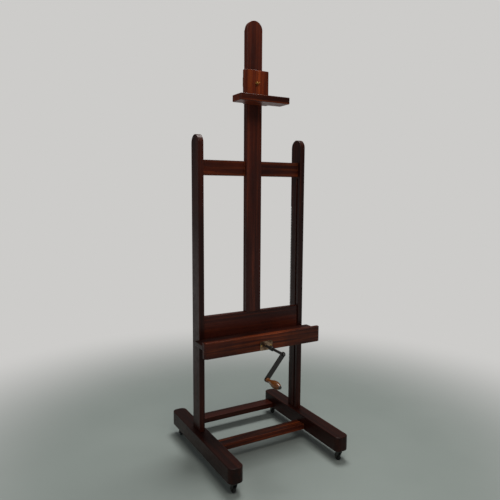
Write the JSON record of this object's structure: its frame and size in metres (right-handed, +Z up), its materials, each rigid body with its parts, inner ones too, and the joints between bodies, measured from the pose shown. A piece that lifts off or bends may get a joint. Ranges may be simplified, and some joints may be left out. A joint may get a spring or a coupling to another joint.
{
  "type": "artist easel",
  "caption": "Wooden studio winding easel on castors: a crank raises a tray and a tall mast between two uprights, and a canvas holder slides on the mast.",
  "frame": {"origin": "on the floor, under the middle of the whole easel's box (castors, feet and crank handle included)", "axes": "+Z up; the front, with the tray and the crank, faces -Y; +X to the right as seen from the front"},
  "size_m": [0.61, 0.663, 1.98],
  "materials": {
    "mahogany": "dark mahogany, satin polish, worn at the edges",
    "red_mahogany": "reddish mahogany with figure, satin polish",
    "turned_beech": "amber turned wood, polished by hands",
    "aged_brass": "aged, dull with bright worn places",
    "black_iron": "blackened, satin",
    "steel": "machined, oiled",
    "black_wheel": "dark, scuffed on the tread"
  },
  "bodies": {
    "stand": {"left_foot": "mahogany", "right_foot": "mahogany", "front_stretcher": "red_mahogany", "rear_stretcher": "mahogany", "left_upright": "mahogany", "right_upright": "mahogany", "crossbar": "mahogany", "left_rack": "black_iron", "right_rack": "black_iron", "front_left_castor_plate": "black_iron", "rear_left_castor_plate": "black_iron", "front_right_castor_plate": "black_iron", "rear_right_castor_plate": "black_iron"},
    "carriage": {"panel": "mahogany", "mast": "mahogany", "tray_apron": "red_mahogany", "tray_shelf": "mahogany", "left_tray_bracket": "mahogany", "right_tray_bracket": "mahogany", "escutcheon": "aged_brass", "left_escutcheon_screw": "aged_brass", "right_escutcheon_screw": "aged_brass", "panel_bush": "aged_brass", "gear_bracket": "black_iron", "left_shaft_bracket": "black_iron", "right_shaft_bracket": "black_iron"},
    "cross_drive": {"cross_shaft": "steel", "worm_wheel": "aged_brass", "left_pinion": "aged_brass", "right_pinion": "aged_brass"},
    "crank": {"crank_shaft": "black_iron", "worm": "steel", "shaft_collar": "black_iron", "crank_arm": "black_iron", "shaft_nut": "black_iron", "crank_pin": "steel", "handle_cap": "black_iron"},
    "grip": {"crank_handle": "turned_beech"},
    "holder": {"holder_plate": "red_mahogany", "holder_ledge": "red_mahogany", "holder_strap": "aged_brass", "thumbscrew_bush": "aged_brass"},
    "clamp_screw": {"thumbscrew": "aged_brass"},
    "front_left_castor": {"front_left_castor_fork": "black_iron", "front_left_castor_axle": "steel"},
    "front_left_wheel": {"front_left_castor_wheel": "black_wheel"},
    "rear_left_castor": {"rear_left_castor_fork": "black_iron", "rear_left_castor_axle": "steel"},
    "rear_left_wheel": {"rear_left_castor_wheel": "black_wheel"},
    "front_right_castor": {"front_right_castor_fork": "black_iron", "front_right_castor_axle": "steel"},
    "front_right_wheel": {"front_right_castor_wheel": "black_wheel"},
    "rear_right_castor": {"rear_right_castor_fork": "black_iron", "rear_right_castor_axle": "steel"},
    "rear_right_wheel": {"rear_right_castor_wheel": "black_wheel"}
  },
  "joints": [
    {"name": "crank_turn", "type": "hinge", "parent": "carriage", "child": "crank", "pos_m": [0, 0.0765, 0.525], "axis": [0, 1, 0], "range_deg": [-8250.6, 25668.5]},
    {"name": "carriage_lift", "type": "slide", "parent": "stand", "child": "carriage", "axis": [0, 0, 1], "range_m": [-0.181, 0.561]},
    {"name": "cross_shaft_turn", "type": "hinge", "parent": "carriage", "child": "cross_drive", "pos_m": [0, 0.12458, 0.561], "axis": [1, 0, 0], "range_deg": [-825.6, 2567.4]},
    {"name": "grip_spin", "type": "hinge", "parent": "crank", "child": "grip", "pos_m": [-0.081, -0.2735, 0.427], "axis": [0, 1, 0], "continuous": true},
    {"name": "holder_slide", "type": "slide", "parent": "carriage", "child": "holder", "axis": [0, 0, 1], "range_m": [-0.12, 0.15]},
    {"name": "clamp_screw_turn", "type": "hinge", "parent": "holder", "child": "clamp_screw", "pos_m": [0, 0.0165, 1.705], "axis": [0, -1, 0], "range_deg": [0, 720]},
    {"name": "front_left_castor_swivel", "type": "hinge", "parent": "stand", "child": "front_left_castor", "pos_m": [-0.2705, -0.2855, 0.047], "axis": [0, 0, 1], "continuous": true},
    {"name": "front_left_wheel_spin", "type": "hinge", "parent": "front_left_castor", "child": "front_left_wheel", "pos_m": [-0.2705, -0.2765, 0.016], "axis": [1, 0, 0], "continuous": true},
    {"name": "rear_left_castor_swivel", "type": "hinge", "parent": "stand", "child": "rear_left_castor", "pos_m": [-0.2705, 0.2855, 0.047], "axis": [0, 0, 1], "continuous": true},
    {"name": "rear_left_wheel_spin", "type": "hinge", "parent": "rear_left_castor", "child": "rear_left_wheel", "pos_m": [-0.2705, 0.2945, 0.016], "axis": [1, 0, 0], "continuous": true},
    {"name": "front_right_castor_swivel", "type": "hinge", "parent": "stand", "child": "front_right_castor", "pos_m": [0.2705, -0.2855, 0.047], "axis": [0, 0, 1], "continuous": true},
    {"name": "front_right_wheel_spin", "type": "hinge", "parent": "front_right_castor", "child": "front_right_wheel", "pos_m": [0.2705, -0.2765, 0.016], "axis": [1, 0, 0], "continuous": true},
    {"name": "rear_right_castor_swivel", "type": "hinge", "parent": "stand", "child": "rear_right_castor", "pos_m": [0.2705, 0.2855, 0.047], "axis": [0, 0, 1], "continuous": true},
    {"name": "rear_right_wheel_spin", "type": "hinge", "parent": "rear_right_castor", "child": "rear_right_wheel", "pos_m": [0.2705, 0.2945, 0.016], "axis": [1, 0, 0], "continuous": true}
  ],
  "couplings": [
    {"joint": "carriage_lift", "follows": "crank_turn", "m_per_rad": 0.00125},
    {"joint": "cross_shaft_turn", "follows": "crank_turn", "ratio": 0.1}
  ]
}
